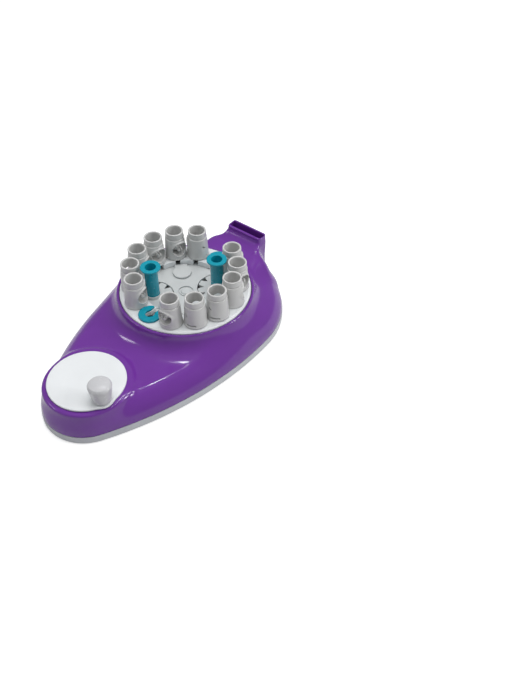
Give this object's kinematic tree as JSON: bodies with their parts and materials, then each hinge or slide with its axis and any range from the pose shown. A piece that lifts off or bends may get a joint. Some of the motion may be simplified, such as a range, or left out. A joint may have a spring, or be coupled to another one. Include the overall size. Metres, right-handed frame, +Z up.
{
  "type": "kumihimo braiding machine",
  "caption": "Hand-cranked braiding machine: teardrop case, geared carousel of swivelling spool towers round two star wheels with guide pegs, crank disc with knob, rear mast socket.",
  "frame": {"origin": "centre of the overall footprint, on the surface that the machine stands on", "axes": "+X from the crank towards the mast socket, +Y to the left of that, +Z up"},
  "size_m": [0.2856, 0.1654, 0.08],
  "materials": {
    "purple_plastic": "high gloss purple moulding",
    "pale_plastic": "pale grey-white satin moulding",
    "white_plastic": "white satin moulding",
    "tower_plastic": "warm white gloss moulding",
    "light_grey_plastic": "light grey satin moulding",
    "grey_plastic": "mid grey moulding",
    "knob_plastic": "cool grey satin moulding",
    "teal_plastic": "teal satin moulding",
    "nylon": "natural nylon",
    "foot_rubber": "soft rubber",
    "screw_steel": "zinc-plated steel"
  },
  "bodies": {
    "case": {"base_tray": "pale_plastic", "top_shell": "purple_plastic", "chassis": "grey_plastic", "rubber_feet": "foot_rubber", "case_screws": "screw_steel", "chassis_screws": "screw_steel", "bearing_race": "nylon", "centre_plate": "light_grey_plastic", "hub_cap": "light_grey_plastic", "guide_tongue_rear": "light_grey_plastic", "guide_tongue_front": "light_grey_plastic", "crank_bush": "nylon", "idler_axle": "screw_steel", "star_axle_right": "screw_steel", "star_axle_left": "screw_steel"},
    "carousel": {"carousel_plate": "white_plastic", "carousel_drum": "grey_plastic", "ring_gear": "nylon", "carousel_hook_rear": "teal_plastic", "carousel_hook_front": "teal_plastic"},
    "star_right": {"star_wheel_right": "light_grey_plastic", "star_pinion_right": "nylon", "guide_peg_right": "teal_plastic"},
    "star_left": {"star_wheel_left": "light_grey_plastic", "star_pinion_left": "nylon", "guide_peg_left": "teal_plastic"},
    "crank": {"crank_disc": "white_plastic", "crank_shaft": "screw_steel", "crank_gear": "nylon", "knob_pin": "screw_steel"},
    "knob": {"crank_knob": "knob_plastic"},
    "idler": {"idler_gear": "nylon"},
    "spool_tower_01": {"tower_01": "tower_plastic", "spool_arbor_01": "tower_plastic"},
    "spool_tower_02": {"tower_02": "tower_plastic", "spool_arbor_02": "tower_plastic"},
    "spool_tower_03": {"tower_03": "tower_plastic", "spool_arbor_03": "tower_plastic"},
    "spool_tower_04": {"tower_04": "tower_plastic", "spool_arbor_04": "tower_plastic"},
    "spool_tower_05": {"tower_05": "tower_plastic", "spool_arbor_05": "tower_plastic"},
    "spool_tower_06": {"tower_06": "tower_plastic", "spool_arbor_06": "tower_plastic"},
    "spool_tower_07": {"tower_07": "tower_plastic", "spool_arbor_07": "tower_plastic"},
    "spool_tower_08": {"tower_08": "tower_plastic", "spool_arbor_08": "tower_plastic"},
    "spool_tower_09": {"tower_09": "tower_plastic", "spool_arbor_09": "tower_plastic"},
    "spool_tower_10": {"tower_10": "tower_plastic", "spool_arbor_10": "tower_plastic"},
    "spool_tower_11": {"tower_11": "tower_plastic", "spool_arbor_11": "tower_plastic"},
    "spool_tower_12": {"tower_12": "tower_plastic", "spool_arbor_12": "tower_plastic"}
  },
  "joints": [
    {"name": "carousel_spin", "type": "hinge", "parent": "case", "child": "carousel", "pos_m": [0.03835, 0, 0.0495], "axis": [0, 0, 1], "continuous": true},
    {"name": "crank_spin", "type": "hinge", "parent": "case", "child": "crank", "pos_m": [-0.09765, 0, 0.035], "axis": [0, 0, 1], "continuous": true},
    {"name": "idler_spin", "type": "hinge", "parent": "case", "child": "idler", "pos_m": [-0.04765, 0, 0.016], "axis": [0, 0, 1], "continuous": true},
    {"name": "star_right_spin", "type": "hinge", "parent": "case", "child": "star_right", "pos_m": [0.06176, -0.02108, 0.0435], "axis": [0, 0, 1], "continuous": true},
    {"name": "star_left_spin", "type": "hinge", "parent": "case", "child": "star_left", "pos_m": [0.01494, 0.02108, 0.0435], "axis": [0, 0, 1], "continuous": true},
    {"name": "knob_spin", "type": "hinge", "parent": "crank", "child": "knob", "pos_m": [-0.10537, -0.02692, 0.035], "axis": [0, 0, 1], "continuous": true},
    {"name": "tower_01_swivel", "type": "hinge", "parent": "carousel", "child": "spool_tower_01", "pos_m": [0.06996, -0.03964, 0.0495], "axis": [0, 0, 1], "continuous": true},
    {"name": "tower_02_swivel", "type": "hinge", "parent": "carousel", "child": "spool_tower_02", "pos_m": [0.08403, -0.022, 0.0495], "axis": [0, 0, 1], "continuous": true},
    {"name": "tower_03_swivel", "type": "hinge", "parent": "carousel", "child": "spool_tower_03", "pos_m": [0.08403, 0.022, 0.0495], "axis": [0, 0, 1], "continuous": true},
    {"name": "tower_04_swivel", "type": "hinge", "parent": "carousel", "child": "spool_tower_04", "pos_m": [0.06996, 0.03964, 0.0495], "axis": [0, 0, 1], "continuous": true},
    {"name": "tower_05_swivel", "type": "hinge", "parent": "carousel", "child": "spool_tower_05", "pos_m": [0.04963, 0.04943, 0.0495], "axis": [0, 0, 1], "continuous": true},
    {"name": "tower_06_swivel", "type": "hinge", "parent": "carousel", "child": "spool_tower_06", "pos_m": [0.02707, 0.04943, 0.0495], "axis": [0, 0, 1], "continuous": true},
    {"name": "tower_07_swivel", "type": "hinge", "parent": "carousel", "child": "spool_tower_07", "pos_m": [0.00674, 0.03964, 0.0495], "axis": [0, 0, 1], "continuous": true},
    {"name": "tower_08_swivel", "type": "hinge", "parent": "carousel", "child": "spool_tower_08", "pos_m": [-0.00733, 0.022, 0.0495], "axis": [0, 0, 1], "continuous": true},
    {"name": "tower_09_swivel", "type": "hinge", "parent": "carousel", "child": "spool_tower_09", "pos_m": [-0.00733, -0.022, 0.0495], "axis": [0, 0, 1], "continuous": true},
    {"name": "tower_10_swivel", "type": "hinge", "parent": "carousel", "child": "spool_tower_10", "pos_m": [0.00674, -0.03964, 0.0495], "axis": [0, 0, 1], "continuous": true},
    {"name": "tower_11_swivel", "type": "hinge", "parent": "carousel", "child": "spool_tower_11", "pos_m": [0.02707, -0.04943, 0.0495], "axis": [0, 0, 1], "continuous": true},
    {"name": "tower_12_swivel", "type": "hinge", "parent": "carousel", "child": "spool_tower_12", "pos_m": [0.04963, -0.04943, 0.0495], "axis": [0, 0, 1], "continuous": true}
  ],
  "couplings": [
    {"joint": "crank_spin", "follows": "carousel_spin", "ratio": 2.6364},
    {"joint": "idler_spin", "follows": "carousel_spin", "ratio": -2.0714},
    {"joint": "star_right_spin", "follows": "carousel_spin", "ratio": 2.8},
    {"joint": "star_left_spin", "follows": "carousel_spin", "ratio": 2.8}
  ]
}
